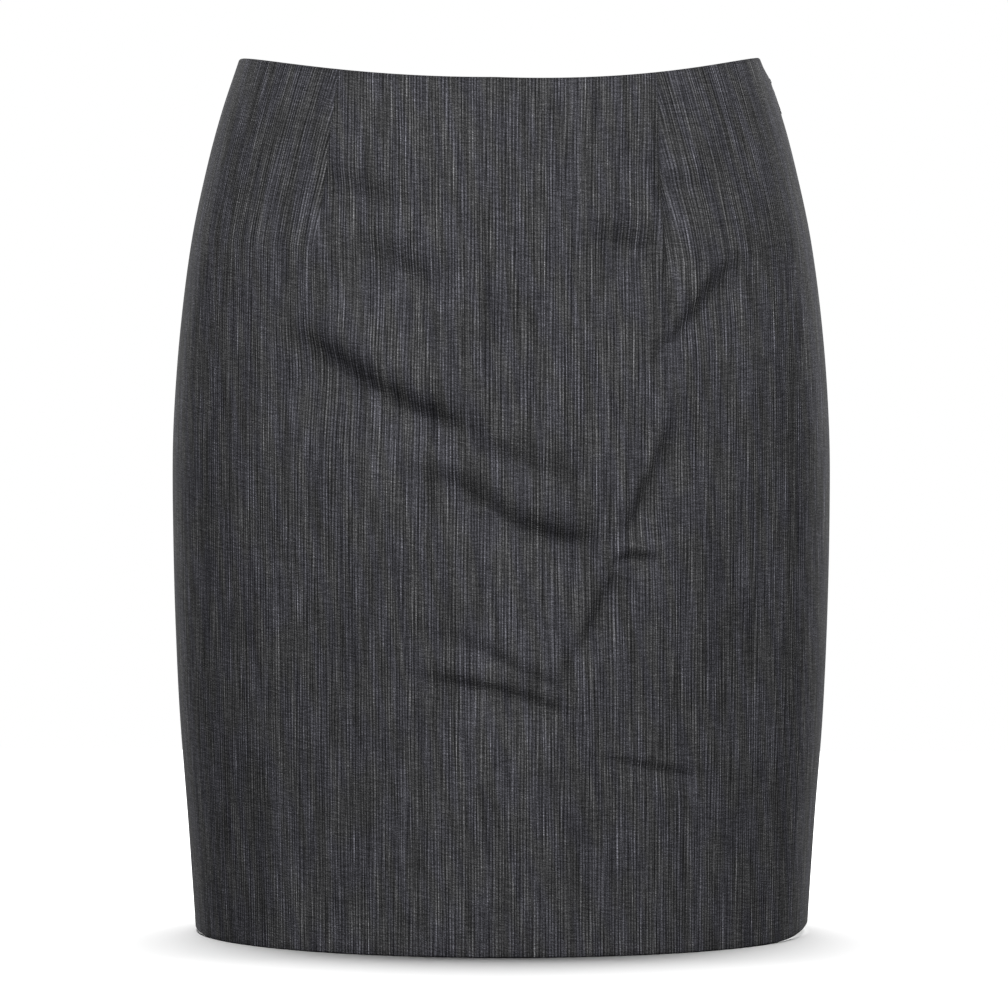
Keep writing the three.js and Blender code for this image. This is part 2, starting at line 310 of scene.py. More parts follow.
BACK_FOLDS = [
    {"places": [(-112, 252), (-62, 274), (-12, 278)], "wide": 6, "deep": 3.2, "ends": (0.4, 0.4)},
    {"places": [(20, 288), (66, 286), (110, 262)], "wide": 6, "deep": 2.8, "ends": (0.4, 0.4)},
    {"places": [(-70, 304), (-20, 314), (30, 308)], "wide": 4.4, "deep": 1.5, "ends": (0.4, 0.4)},
    {"places": [(18, 224), (60, 208), (98, 176)], "wide": 3.8, "deep": 1.8, "ends": (0.5, 0.3)},
    {"places": [(-104, 150), (-86, 190), (-74, 226)], "wide": 3, "deep": 1.5, "ends": (0.4, 0.4)},
    {"places": [(-96, 396), (-58, 388), (-20, 392)], "wide": 3, "deep": 1, "ends": (0.4, 0.5)},
]
SHADE = 0.7
UNDERSIDE = 3.4
SWELL = {"high": 0.25, "above": 2.1, "wide": 1.4}
REACH = 2.2
SLACK = [
    {"across": 55, "along": 90, "high": 0.36, "layer": 0},
    {"across": 22, "along": 40, "high": 0.13, "layer": 7},
]
CURVE_STEPS = 8


def ease(value, low, high):
    t = min(max((value - low) / (high - low), 0), 1)
    return t * t * (3 - 2 * t)


def curve_through(places):
    """A smooth curve through the places, as a list of points a short step apart."""
    knots = [Vector(place) for place in places]
    knots = [2 * knots[0] - knots[1], *knots, 2 * knots[-1] - knots[-2]]
    points = []
    for a, b, c, d in zip(knots, knots[1:], knots[2:], knots[3:]):
        for step in range(CURVE_STEPS):
            t = step / CURVE_STEPS
            bend = (2 * a - 5 * b + 4 * c - d) * t**2 + (3 * b - a - 3 * c + d) * t**3
            points.append(b + ((c - a) * t + bend) / 2)
    return [*points, knots[-2]]


for fold in FRONT_FOLDS + BACK_FOLDS:
    fold["curve"] = curve_through(fold["places"])
print("folds:", len(FRONT_FOLDS), "in front and", len(BACK_FOLDS), "behind")


# %% How far a fold moves the cloth
def beside(fold, here):
    """How strong a fold is at its nearest point, from 0 to 1, and how far under it here lies."""
    curve = fold["curve"]
    near = min(range(len(curve)), key=lambda i: (curve[i] - here).length_squared)
    first, last = max(near - 1, 0), min(near + 1, len(curve) - 1)
    run = curve[last] - curve[first]
    part = min(max((here - curve[first]).dot(run) / run.length_squared, 0), 1)
    t = (first + part * (last - first)) / (len(curve) - 1)
    away = here - (curve[first] + run * part)
    below = math.copysign(away.length, run.x * away.y - run.y * away.x)
    grow, die = fold["ends"]
    return ease(t, 0, grow) * (1 - ease(t, 1 - die, 1)), below


def fold_offset(folds, across, drop):
    """How far the folds move the cloth outward at a point, in millimetres."""
    offset = 0
    here = Vector((across, drop))
    for fold in folds:
        reach = REACH * UNDERSIDE * fold["wide"]
        middle = fold["curve"][len(fold["curve"]) // 2]
        half_long = (fold["curve"][0] - fold["curve"][-1]).length / 2
        if (here - middle).length > half_long + reach:
            continue
        strength, below = beside(fold, here)
        lean = below / fold["wide"] - SHADE
        trough = math.exp(-((lean / (UNDERSIDE if lean > 0 else 1)) ** 2))
        swell = math.exp(-(((lean + SWELL["above"]) / SWELL["wide"]) ** 2))
        offset += fold["deep"] * strength * (SWELL["high"] * swell - trough)
    return offset


def slack(across, drop, turn):
    """The slight unevenness of cloth between its folds, in millimetres."""
    high = 0
    for wave in SLACK:
        place = Vector((across / wave["across"], drop / wave["along"], turn + wave["layer"]))
        high += wave["high"] * noise.noise(place)
    return high


def hem_rise(angle, plain):
    """How far the hem is drawn up near a side seam, from some way above it down to its edge."""
    high = HEM_RISE["zip" if math.sin(angle) > 0 else "other"]
    apart = math.acos(min(abs(math.sin(angle)), 1)) * smooth(SECTIONS, side_of(angle), LENGTH)
    near = math.exp(-((apart / HEM_RISE["wide"]) ** 2))
    return high * near * ease(plain, HEM_RISE["from"], LENGTH)


# %% [markdown]
# ## Darts
# A dart is a wedge of cloth folded away inside, so it leaves a seam that points from the waist to the
# fullest part. The stripes on its two sides meet at an angle, which is what shows that it is there. The
# cloth's own pattern coordinate therefore jumps at the seam by the width that was folded away.

# %% Darts
FRONT = {
    "turn": 0,
    "folds": FRONT_FOLDS,
    "darts": [
        {"waist": -82, "tip": -95, "long": 98, "intake": 26},
        {"waist": 84, "tip": 91, "long": 104, "intake": 26},
    ],
    # Pale bands of painted highlight beside the dart seams, standing in for the light that a pressed edge
    # catches.
    "painted_light": [
        {"places": [(-103, 146), (-98, 104), (-90, 58)], "wide": 2, "ends": (0.3, 0.3)},
    ],
}
BACK = {
    "turn": math.pi,
    "folds": BACK_FOLDS,
    "darts": [
        {"waist": -78, "tip": -86, "long": 125, "intake": 28},
        {"waist": 78, "tip": 86, "long": 125, "intake": 28},
    ],
    # Pale bands of painted highlight beside the dart seams, standing in for the light that a pressed edge
    # catches.
    "painted_light": [
        {"places": [(-88, 130), (-85, 90), (-82, 50)], "wide": 1.6, "ends": (0.4, 0.4)},
        {"places": [(83, 130), (80, 90), (77, 50)], "wide": 1.6, "ends": (0.4, 0.4)},
    ],
}
TIP_EASE = 1.25
# How near a dart the painted highlight is looked for.
PAINTED_HIGHLIGHT_NEAR = {"across": 20, "drop": 170}
# Painted shade on the waist's folded edge: darkest on the rows of the roll, lighter on the row under them.
EDGE_PAINTED_SHADE = {"edge": -1.3, "under": -0.5}
for band in FRONT["painted_light"] + BACK["painted_light"]:
    band["curve"] = curve_through(band["places"])


def dart_share(dart, drop):
    """How much of a dart is left at a drop: 1 at the waist and 0 from its tip down."""
    return max(0, 1 - drop / dart["long"])


def dart_across(dart, drop):
    return dart["tip"] + (dart["waist"] - dart["tip"]) * dart_share(dart, drop)


def folded_away(dart, drop):
    """The width of cloth that a dart takes in, in millimetres."""
    return dart["intake"] * dart_share(dart, drop) ** TIP_EASE


def painted_highlight_share(cut, across, drop):
    """How strong the painted highlight is, from 0 to 1, in a pale band beside a dart's pressed seam, over the
    thickness folded in at a dart.
    """
    share = 0
    for band in cut["painted_light"]:
        aside = abs(across - band["places"][1][0])
        if aside < PAINTED_HIGHLIGHT_NEAR["across"] and drop < PAINTED_HIGHLIGHT_NEAR["drop"]:
            strength, beyond = beside(band, Vector((across, drop)))
            share += strength * math.exp(-((beyond / band["wide"]) ** 2))
    return share


# %% [markdown]
# ## The way down the cloth
# Each panel is one sheet that is turned in at the waist edge and turned up at the hem. Its rows follow
# that way: up inside the waist, over the edge, down the outside, round the hem and up inside again.

# %% Rows of the sheet
CLOTH = 0.7
ROLL = 0.8
ROW_ZONES = [{"to": 90, "step": 3}, {"to": 392, "step": 1.7}, {"to": LENGTH - ROLL, "step": 3.3}]
WAIST_TURN = 12
HEM_TURN = 35
STEPS = {"waist_turn": 4, "roll": 6, "hem_turn": 8}


def turned_rows():
    """(drop, inset, way): drop below the waist edge, depth under the outer face, and cloth length."""
    rows = []
    for i in range(STEPS["waist_turn"]):
        rows.append((WAIST_TURN + (ROLL - WAIST_TURN) * i / STEPS["waist_turn"], 2 * ROLL))
    turns = [math.pi * (i / STEPS["roll"] - 0.5) for i in range(STEPS["roll"] + 1)]
    for turn in turns:
        rows.append((ROLL * (1 - math.cos(turn)), ROLL * (1 - math.sin(turn))))
    for zone in ROW_ZONES:
        start = rows[-1][0]
        steps = round((zone["to"] - start) / zone["step"])
        rows += [(start + (zone["to"] - start) * i / steps, 0) for i in range(1, steps + 1)]
    rows.pop()
    for turn in turns:
        rows.append((LENGTH - ROLL * (1 - math.cos(turn)), ROLL * (1 + math.sin(turn))))
    for i in range(1, STEPS["hem_turn"] + 1):
        rows.append((LENGTH - ROLL + (ROLL - HEM_TURN) * i / STEPS["hem_turn"], 2 * ROLL))
    way = 0
    rows_and_way = []
    for i, (drop, inset) in enumerate(rows):
        if i:
            way += math.dist((drop, inset), rows[i - 1])
        rows_and_way.append((drop, inset, way))
    return rows_and_way


WAIST_ROLL = range(STEPS["waist_turn"], STEPS["waist_turn"] + STEPS["roll"] + 1)
ROWS = turned_rows()
print("rows down the cloth:", len(ROWS), "cloth length in mm:", round(ROWS[-1][2]))

# %% [markdown]
# ## Columns
# The columns of a panel's grid bend so that one of them always runs down each dart. They crowd together
# at the darts and the side seams, where the seams need fine steps, and are wider apart between them.

# %% Columns of the sheet
SIDE_COLUMNS = 36
MIDDLE_COLUMNS = 108
CROWD = 0.55
SEAM_GAP = 0.3
MOUTH = {"half": 2.25, "opens": (3.5, 8), "shuts": (18.5, 24)}


def crowded(t):
    return t - CROWD * math.sin(2 * math.pi * t) / (2 * math.pi)


def zip_gap(drop):
    """Half the gap at the zip's seam, where the edges part round the slider."""
    parted = ease(drop, *MOUTH["opens"]) * (1 - ease(drop, *MOUTH["shuts"]))
    return SEAM_GAP / 2 + MOUTH["half"] * parted


def column_angles(cut, drop):
    """The angles of a row's columns, from the panel's left seam to its right one, seen from outside."""
    half = smooth(SECTIONS, "half", drop)
    depth = smooth(SECTIONS, side_of(cut["turn"]), drop)
    trims = [SEAM_GAP / 2, zip_gap(drop)]
    if side_of(cut["turn"]) == "back":
        trims.reverse()
    stops = [
        -QUARTER + trims[0] / depth,
        math.asin(dart_across(cut["darts"][0], drop) / half),
        math.asin(dart_across(cut["darts"][1], drop) / half),
        QUARTER - trims[1] / depth,
    ]
    angles = [stops[0]]
    for start, end, count in zip(stops, stops[1:], (SIDE_COLUMNS, MIDDLE_COLUMNS, SIDE_COLUMNS)):
        angles += [start + (end - start) * crowded(i / count) for i in range(1, count + 1)]
    return [cut["turn"] + angle for angle in angles]


# %% [markdown]
# ## Where the cloth lies
# One function carries every point of the cloth to its place. It starts from the smooth body, adds the
# folds and the slack, and draws the cloth in at the seams and the darts, where stitching holds it. Over
# the zip it leaves a shallow bed for the pull, and it leans the waist's corner in and rounds it. The
# allowances and the zip's tapes use the same function, so that they follow the cloth from inside.

# %% Placing a point of the cloth
CLOTH_HALF = CLOTH / 2
SEAM_DIP = {"deep": 0.9, "wide": 1.6, "quiet": 12}
ZIP_BED = {"deep": 0.8, "wide": 3.2, "starts": (7, 11), "ends": (30, 40)}
DART_DIP = {"deep": 0.9, "wide": 0.75, "fades": 3}
ZIP_LEAN = {"front": 4.5, "back": 3, "wide": 26, "fades": 12.5}
ZIP_ROUND = {"high": 2.5, "wide": 3.5, "fades": 20}


def on_cloth(cut, angle, plain, inset=0):
    """The cloth's middle layer at an angle and a drop on the pattern, or a layer further inside."""
    local = angle - cut["turn"]
    drop = plain + waist_drop(angle) * (1 - plain / LENGTH) - hem_rise(angle, plain)
    across = smooth(SECTIONS, "half", drop) * math.sin(local)
    from_seam = (QUARTER - abs(local)) * smooth(SECTIONS, side_of(cut["turn"]), drop)
    lift = fold_offset(cut["folds"], across, drop) + slack(across, drop, cut["turn"])
    lift *= min(from_seam / SEAM_DIP["quiet"], 1)
    lift -= SEAM_DIP["deep"] * math.exp(-((from_seam / SEAM_DIP["wide"]) ** 2))
    pattern_across = smooth(SECTIONS, "half", plain) * math.sin(local)
    for dart in cut["darts"]:
        aside = (pattern_across - dart_across(dart, plain)) / DART_DIP["wide"]
        held = min(DART_DIP["fades"] * dart_share(dart, plain), 1)
        lift -= DART_DIP["deep"] * held * math.exp(-(aside**2))
    if math.sin(angle) > 0:
        bed = ease(plain, *ZIP_BED["starts"]) * (1 - ease(plain, *ZIP_BED["ends"]))
        lift -= ZIP_BED["deep"] * bed * math.exp(-((from_seam / ZIP_BED["wide"]) ** 2))
        near = max(0, 1 - from_seam / ZIP_LEAN["wide"]) ** 2
        lift -= ZIP_LEAN[side_of(cut["turn"])] * near * (1 - ease(plain, 0, ZIP_LEAN["fades"]))
        if side_of(cut["turn"]) == "front":
            near = max(0, 1 - from_seam / ZIP_ROUND["wide"]) ** 2
            drop += ZIP_ROUND["high"] * near * (1 - ease(plain, 0, ZIP_ROUND["fades"]))
    return on_body(angle, drop, lift - inset - CLOTH_HALF)


# %% [markdown]
# ## A panel
# A flat grid is made with the grid operator, and each of its corners is then carried to its place. The
# pattern coordinates are the cloth's own: millimetres across from the centre line, with the darts' folded
# width counted, and millimetres down the cloth. A stripe follows one value of the first. A second layer
# of values paints light into the colour: above nought a painted highlight beside the darts' pressed seams,
# and below nought painted shade on the waist's folded edge.

# %% Panel maker
def to_object(name, mesh):
    """Puts a finished mesh into a named object at the origin and shades it smooth."""
    data = bpy.data.meshes.new(name)
    mesh.to_mesh(data)
    mesh.free()
    data.shade_smooth()
    made = bpy.data.objects.new(name, data)
    bpy.context.scene.collection.objects.link(made)
    return made


def cloth_object(name, mesh, thickness):
    """Makes a sheet's object and gives it its thickness."""
    bmesh.ops.recalc_face_normals(mesh, faces=mesh.faces)
    made = to_object(name, mesh)
    wall = made.modifiers.new("cloth thickness", "SOLIDIFY")
    wall.thickness = thickness * MM
    wall.offset = 0
    wall.use_even_offset = False
    return made


def across_the_cloth(cut, angles):
    """For each row, how far across the flat cloth its columns lie from the centre line."""
    table = []
    for (drop, _, _), row_angles in zip(ROWS, angles):
        ring = [on_body(angle, drop) for angle in row_angles]
        run = [0]
        for here, there in zip(ring, ring[1:]):
            run.append(run[-1] + (there - here).length / MM)
        middle = min(range(len(ring)), key=lambda i: abs(row_angles[i] - cut["turn"]))
        past = (row_angles[middle] - cut["turn"]) * smooth(SECTIONS, "half", drop)
        table.append([length - run[middle] + past for length in run])
    return table


def panel(name, cut):
    columns = 2 * SIDE_COLUMNS + MIDDLE_COLUMNS
    rows = len(ROWS) - 1
    mesh = bmesh.new()
    bmesh.ops.create_grid(mesh, x_segments=columns, y_segments=rows, size=0.5)
    angles = [column_angles(cut, drop) for drop, _, _ in ROWS]
    table = across_the_cloth(cut, angles)
    painted_light = mesh.verts.layers.float.new("painted_light")
    where = {}
    for corner in mesh.verts:
        column = round((corner.co.x + 0.5) * columns)
        row = round((0.5 - corner.co.y) * rows)
        where[corner] = (column, row)
        plain, inset, _ = ROWS[row]
        angle = angles[row][column]
        across = smooth(SECTIONS, "half", plain) * math.sin(angle - cut["turn"])
        # This layer holds painted light: a painted highlight beside the darts, and painted shade on the
        # waist's folded edge.
        corner[painted_light] = painted_highlight_share(cut, across, plain)
        # The rows of the waist's roll get painted shade in place of the highlight.
        if row in WAIST_ROLL:
            corner[painted_light] = EDGE_PAINTED_SHADE["under" if row == WAIST_ROLL[-1] else "edge"]
        corner.co = on_cloth(cut, angle, plain, inset)
    pattern = mesh.loops.layers.uv.new("cloth")
    first_dart, second_dart = SIDE_COLUMNS, SIDE_COLUMNS + MIDDLE_COLUMNS
    for face in mesh.faces:
        middle_column = sum(where[corner][0] for corner in face.verts) / 4
        for loop in face.loops:
            column, row = where[loop.vert]
            plain, _, way = ROWS[row]
            across = table[row][column]
            if middle_column < first_dart:
                across -= folded_away(cut["darts"][0], plain)
            if middle_column > second_dart:
                across += folded_away(cut["darts"][1], plain)
            loop[pattern].uv = (across * MM, -way * MM)
    widths = [max(row) - min(row) for row in table]
    print(name, "faces:", len(mesh.faces), "sewn width in mm:", round(min(widths)), round(max(widths)))
    return cloth_object(name, mesh, CLOTH)


front_cloth = panel("front_cloth", FRONT)
back_cloth = panel("back_cloth", BACK)

# %% [markdown]
# ## Allowances and darts, from inside
# There is no lining, so the inside shows how the skirt is sewn: the seam allowances are pressed open, and
# each dart's folded cloth lies flat towards the middle. They are strips that follow the panels a little
# further in. A strip is a grid again, between two edges that may move with the drop.

# %% Strips inside
STRIP_STEP = 2.5


def strip(name, cut, edges, top, bottom, layer):
    """A narrow sheet behind a panel. edges(drop) gives the angles of its two sides, and layer says how
    far in the sheet lies, how thick it is and how many columns it has."""
    rows = round((bottom - top) / STRIP_STEP)
    mesh = bmesh.new()
    bmesh.ops.create_grid(mesh, x_segments=layer["columns"], y_segments=rows, size=0.5)
    pattern = mesh.loops.layers.uv.new("cloth")
    for face in mesh.faces:
        for loop in face.loops:
            plain = top + (0.5 - loop.vert.co.y) * (bottom - top)
            wide = (edges(plain)[1] - edges(plain)[0]) * smooth(SECTIONS, side_of(cut["turn"]), plain)
            loop[pattern].uv = (loop.vert.co.x * wide * MM, -plain * MM)
    for corner in mesh.verts:
        plain = top + (0.5 - corner.co.y) * (bottom - top)
        left, right = edges(plain)
        corner.co = on_cloth(cut, left + (right - left) * (corner.co.x + 0.5), plain, layer["inset"])
    print(name, "faces:", len(mesh.faces))
    return cloth_object(name, mesh, layer["thick"])


def beside_seam(cut, side, near, far):
    """Edges a distance in millimetres from a side seam. side is -1 or 1, as the panel is looked at."""

    def edges(drop):
        depth = smooth(SECTIONS, side_of(cut["turn"]), drop)
        return [cut["turn"] + side * (QUARTER - away / depth) for away in (near, far)]

    return edges


def beside_dart(cut, dart):
    """Edges of a dart's folded cloth, from its seam towards the panel's middle."""

    def edges(drop):
        half = smooth(SECTIONS, "half", drop)
        seam = dart_across(dart, drop)
        fold = seam - math.copysign(folded_away(dart, drop) / 2 + DART_FOLD["thread"], dart["tip"])
        return [cut["turn"] + math.asin(place / half) for place in (seam, fold)]

    return edges


ALLOWANCE = {"wide": 14, "top": 14, "zip_top": 26, "bottom": LENGTH - HEM_TURN - 3}
ALLOWANCE.update(inset=1.1, thick=CLOTH - 0.1, columns=5)
DART_FOLD = {"top": 14, "thread": 0.5, "inset": 1.4, "thick": 2 * CLOTH - 0.3, "columns": 4}
inside = {"front": [], "back": []}
for cut, cloth in ((FRONT, front_cloth), (BACK, back_cloth)):
    side_name = side_of(cut["turn"])
    for side, hand in ((-1, "left"), (1, "right")):
        at_zip = math.sin(cut["turn"] + side * QUARTER) > 0
        top = ALLOWANCE["zip_top"] if at_zip else ALLOWANCE["top"]
        edges = beside_seam(cut, side, SEAM_GAP, ALLOWANCE["wide"])
        name = f"{side_name}_allowance_{hand}"
        inside[side_name].append(strip(name, cut, edges, top, ALLOWANCE["bottom"], ALLOWANCE))
    for dart, hand in zip(cut["darts"], ("left", "right")):
        name = f"{side_name}_dart_{hand}"
        edges = beside_dart(cut, dart)
        inside[side_name].append(strip(name, cut, edges, DART_FOLD["top"], dart["long"], DART_FOLD))

# %% [markdown]
# ## Suiting
# The cloth is a wool suiting, woven from dark yarns with slubs: long thick places that take the light.
# They run down the cloth, so it reads as charcoal with fine broken stripes. Each layer below is noise
# that is stretched down the cloth, or across it for the threads that cross the stripes. The layers are
# added up and the sum is the power of a tone, because yarns that lie over each other multiply their
# tones. That gives a dark ground with thin bright yarns.

# %% Suiting layers
YARN_LAYERS = [
    {"across": 0.6, "along": 20, "strength": 1.85},
    {"across": 0.65, "along": 62, "strength": 1.45},
    {"across": 0.8, "along": 0.6, "strength": 2.2},
    {"across": 5, "along": 0.6, "strength": 1.0},
    {"across": 3.2, "along": 60, "strength": 0.22},
    {"across": 14, "along": 300, "strength": 0.2},
]
SLUBS = {"across": 0.7, "along": 34, "strength": 3.7, "rare": 0.62}
RIBS = {"apart": 1.65, "strength": 0.5}
WANDER = {"across": 5, "along": 70, "strength": 1.2}
TINTS = {"across": 9, "along": 30, "grey": "#39393a", "blue": "#39393d"}
SLOPE = 0.73
LAYER_STEP = 3.5
# How strongly the painted light layer lightens or darkens the cloth's tone.
PAINTED_LIGHT_STRENGTH = 0.4


# %% Suiting material
def suiting_material(name):
    """Wool suiting: a dark matt weave with bright slubs, and a faint nap that catches grazing light."""
    material, tree = new_material(name)
    cloth = add(tree, "ShaderNodeUVMap", uv_map="cloth")
    split = add(tree, "ShaderNodeSeparateXYZ", {0: cloth.outputs[0]})

    def maths(operation, a, b=0.0, c=0.0):
        return add(tree, "ShaderNodeMath", {0: a, 1: b, 2: c}, operation=operation).outputs[0]

    def streaks(layer, number):
        """Noise of a size in millimetres across and along the cloth, from about -0.5 to 0.5. Each number
        gives another noise. The slope keeps the ends of neighbouring streaks out of line."""
        step = maths("MULTIPLY", split.outputs[0], 1 / (layer["across"] * MM))
        run = maths("MULTIPLY", split.outputs[1], 1 / (layer["along"] * MM))
        slope = maths("MULTIPLY_ADD", step, SLOPE, run)
        place = add(tree, "ShaderNodeCombineXYZ", {0: step, 1: slope, 2: number * LAYER_STEP})
        settings = {"Vector": place.outputs[0], "Scale": 1.0, "Detail": 0.0}
        wave = add(tree, "ShaderNodeTexNoise", settings, noise_dimensions="3D")
        return maths("SUBTRACT", wave.outputs[0], 0.5)

    height = 0.0
    for number, layer in enumerate(YARN_LAYERS):
        height = maths("MULTIPLY_ADD", streaks(layer, number), layer["strength"], height)
    slub = maths("SUBTRACT", streaks(SLUBS, 6), SLUBS["rare"] - 0.5)
    height = maths("MULTIPLY_ADD", maths("MAXIMUM", slub, 0.0), SLUBS["strength"], height)
    wander = maths("MULTIPLY", streaks(WANDER, 7), WANDER["strength"])
    turns = maths("MULTIPLY_ADD", split.outputs[0], 1 / (RIBS["apart"] * MM), wander)
    ribs = maths("SINE", maths("MULTIPLY", turns, math.tau))
    height = maths("MULTIPLY_ADD", ribs, RIBS["strength"], height)
    # Painted light: the layer lightens the tone in a painted highlight beside the darts and darkens it in
    # painted shade on the waist edge.
    painted_light = add(tree, "ShaderNodeAttribute", attribute_name="painted_light")
    height = maths("MULTIPLY_ADD", painted_light.outputs["Fac"], PAINTED_LIGHT_STRENGTH, height)
    tone = maths("EXPONENT", height)

    bluer = add(tree, "ShaderNodeMapRange", {0: streaks(TINTS, 8), 1: -0.1, 2: 0.1})
    tint = {0: bluer.outputs[0], 6: linear(TINTS["grey"]), 7: linear(TINTS["blue"])}
    ground = add(tree, "ShaderNodeMix", tint, data_type="RGBA")
    colour = add(tree, "ShaderNodeVectorMath", {0: ground.outputs[2], 3: tone}, operation="SCALE")
    bump = add(tree, "ShaderNodeBump", {"Strength": 0.25, "Distance": 0.4 * MM, "Height": tone})
    finish = {"Base Color": colour.outputs[0], "Normal": bump.outputs[0], "Roughness": 0.9}
    finish.update({"Sheen Weight": 0.03, "Sheen Roughness": 0.3, "Specular IOR Level": 0.02})
    surface = add(tree, "ShaderNodeBsdfPrincipled", finish)
    add(tree, "ShaderNodeOutputMaterial", {"Surface": surface.outputs[0]})
    print(name, "nodes:", len(tree.nodes))
    return material


suiting = suiting_material("charcoal slubbed wool suiting")
for piece in (front_cloth, back_cloth, *inside["front"], *inside["back"]):
    piece.data.materials.append(suiting)
    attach(piece, "skirt")
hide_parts("front_panel")
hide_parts("back_panel")

# %% [markdown]
# ## Concealed zip
# A concealed zip is sewn in behind the left side seam. Its two tapes are narrow woven strips, and its
# teeth are two nylon coils that lock into each other. From outside only the pull shows. The tapes are
# strips like the allowances. Each coil is one ring of wire that the spin operator winds down a helix.

# %% Zip tapes
ZIP = {"top": 4, "end": 190, "near": 3.25, "far": 15.25, "inset": 2.15, "thick": 0.6, "columns": 5}
tapes = []
for cut, side, node in ((FRONT, 1, "zip_tape_front"), (BACK, -1, "zip_tape_back")):
    edges = beside_seam(cut, side, ZIP["near"], ZIP["far"])
    tape = strip(node.replace("zip_", ""), cut, edges, ZIP["top"], ZIP["end"], ZIP)
    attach(tape, "skirt")
    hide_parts(node)
    tapes.append(tape)


# %% Zip coil
COIL = {"top": 18.7, "end": 185.5, "pitch": 1.2, "wire": 0.5, "middle": 2.9}
COIL.update(across=1.3, lock=1.25, deep=0.62, sides=6, steps=8)


def wind_coil(mesh):
    """Winds one straight coil, whose axis goes down from the origin."""
    turns = round((COIL["end"] - COIL["top"]) / COIL["pitch"])
    ring = bmesh.ops.create_circle(mesh, cap_ends=True, radius=COIL["wire"] / 2, segments=COIL["sides"])
    upright = Matrix.Translation((COIL["across"], 0, 0)) @ Matrix.Rotation(QUARTER, 4, "X")
    bmesh.ops.transform(mesh, matrix=upright, verts=ring["verts"])
    start = [*ring["verts"], *{edge for corner in ring["verts"] for edge in corner.link_edges}]
    start += list({face for corner in ring["verts"] for face in corner.link_faces})
    steps = turns * COIL["steps"]
    slide = (0, 0, -COIL["pitch"] / COIL["steps"])
    bmesh.ops.spin(mesh, geom=start, axis=(0, 0, 1), dvec=slide, angle=math.tau * turns, steps=steps)


coil_mesh = bmesh.new()
for side in (1, -1):
    one = bmesh.new()
    wind_coil(one)
    for corner in one.verts:
        x, y, z = corner.co
        ahead = side * (COIL["lock"] + x)
        drop = COIL["top"] - z + (COIL["pitch"] / 2 if side < 0 else 0)
        depth = smooth(SECTIONS, "front" if ahead > 0 else "back", drop)
        out = y / COIL["across"] * COIL["deep"] - COIL["middle"]
        corner.co = on_body(QUARTER - ahead / depth, drop, out)
    bmesh.ops.recalc_face_normals(one, faces=one.faces)
    half_coil = bpy.data.meshes.new("half coil")
    one.to_mesh(half_coil)
    one.free()
    coil_mesh.from_mesh(half_coil)
    bpy.data.meshes.remove(half_coil)
print("coil faces:", len(coil_mesh.faces))
coil = to_object("coil", coil_mesh)
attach(coil, "skirt")
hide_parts("zip_coil")

# %% [markdown]
# ## Slider and pull
# The slider is a small cast block behind the seam, with an arch that stands out between the edges. The
# pull is stamped from plate: it hangs by a bar under the arch, has a window that the arch goes through,
# and steps out to lie in the cloth's shallow bed. Both are made straight, at their own pivot, and then
# set on the sloping side. The block is a cube with a narrower foot and bevelled edges, and the arch is
# half a spun ring.

# %% Slider
SLIDER = {"drop": 12, "wide": 5.6, "foot": 4.6, "tall": 9, "outer": -1.6, "inner": -4, "bevel": 0.12}
ARCH = {"inner": 1.7, "outer": 2.7, "root": -1.65, "reach_in": 1.65, "reach_out": 1.97, "half": 0.5}
ARCH_STEPS = 12
SHARP = 0.6
seat = on_body(QUARTER, SLIDER["drop"])
rise = (on_body(QUARTER, SLIDER["drop"] + 1) - on_body(QUARTER, SLIDER["drop"] - 1)).x / MM
HEAD = Matrix.Translation(seat) @ Matrix.Rotation(-math.atan2(rise, 2), 4, "Y") @ Matrix.Scale(MM, 4)


def hard_object(name, mesh, bevel):
    """Rounds a hard piece's edges, sets it on the seam and puts it into a named object."""
    sharp = [edge for edge in mesh.edges if edge.is_manifold and edge.calc_face_angle() > SHARP]
    bmesh.ops.bevel(mesh, geom=sharp, offset=bevel, segments=2, profile=0.5, affect="EDGES", material=-1)
    bmesh.ops.transform(mesh, matrix=HEAD, verts=mesh.verts)
    bmesh.ops.recalc_face_normals(mesh, faces=mesh.faces)
    print(name, "faces:", len(mesh.faces))
    return to_object(name, mesh)


mesh = bmesh.new()
block = bmesh.ops.create_cube(mesh, size=1)["verts"]
for corner in block:
    x, y, z = corner.co
    wide = SLIDER["wide"] if z > 0 else SLIDER["foot"]
    deep = SLIDER["outer"] - SLIDER["inner"]
    corner.co = (SLIDER["inner"] + deep * (x + 0.5), wide * y, SLIDER["tall"] * z)
section = [(ARCH["root"], y, z) for z in (ARCH["inner"], ARCH["outer"]) for y in (-1, 1)]
corners = [mesh.verts.new((x, ARCH["half"] * y, z)) for x, y, z in section]
start = mesh.faces.new([corners[i] for i in (0, 1, 3, 2)])
spun = [start, *start.edges, *start.verts]
centre = (ARCH["root"], 0, 0)
bmesh.ops.spin(mesh, geom=spun, cent=centre, axis=(0, 1, 0), angle=math.pi, steps=ARCH_STEPS)
for corner in mesh.verts:
    if corner in block:
        continue
    from_root = corner.co - Vector(centre)
    outer = math.hypot(from_root.x, from_root.z) > (ARCH["inner"] + ARCH["outer"]) / 2
    stretch = ARCH["reach_out"] / ARCH["outer"] if outer else ARCH["reach_in"] / ARCH["inner"]
    corner.co.x = ARCH["root"] + from_root.x * stretch
slider = hard_object("slider", mesh, SLIDER["bevel"])

# %% Pull
PULL = {"half": 1.7, "thick": 0.7, "bar": 0.4, "long": 19, "window_half": 0.9, "window_end": 4.2}
PULL.update(bevel=0.13)
CRANK = [(-0.6, 2.2), (-0.3, 6.2), (-0.3, PULL["long"])]
frame_middle = (PULL["half"] + PULL["window_half"]) / 2
half_columns = [PULL["window_half"], frame_middle, PULL["half"]]
PULL_COLUMNS = [*(-across for across in reversed(half_columns)), 0, *half_columns]
END_TURNS = (20, 40, 60, 75)


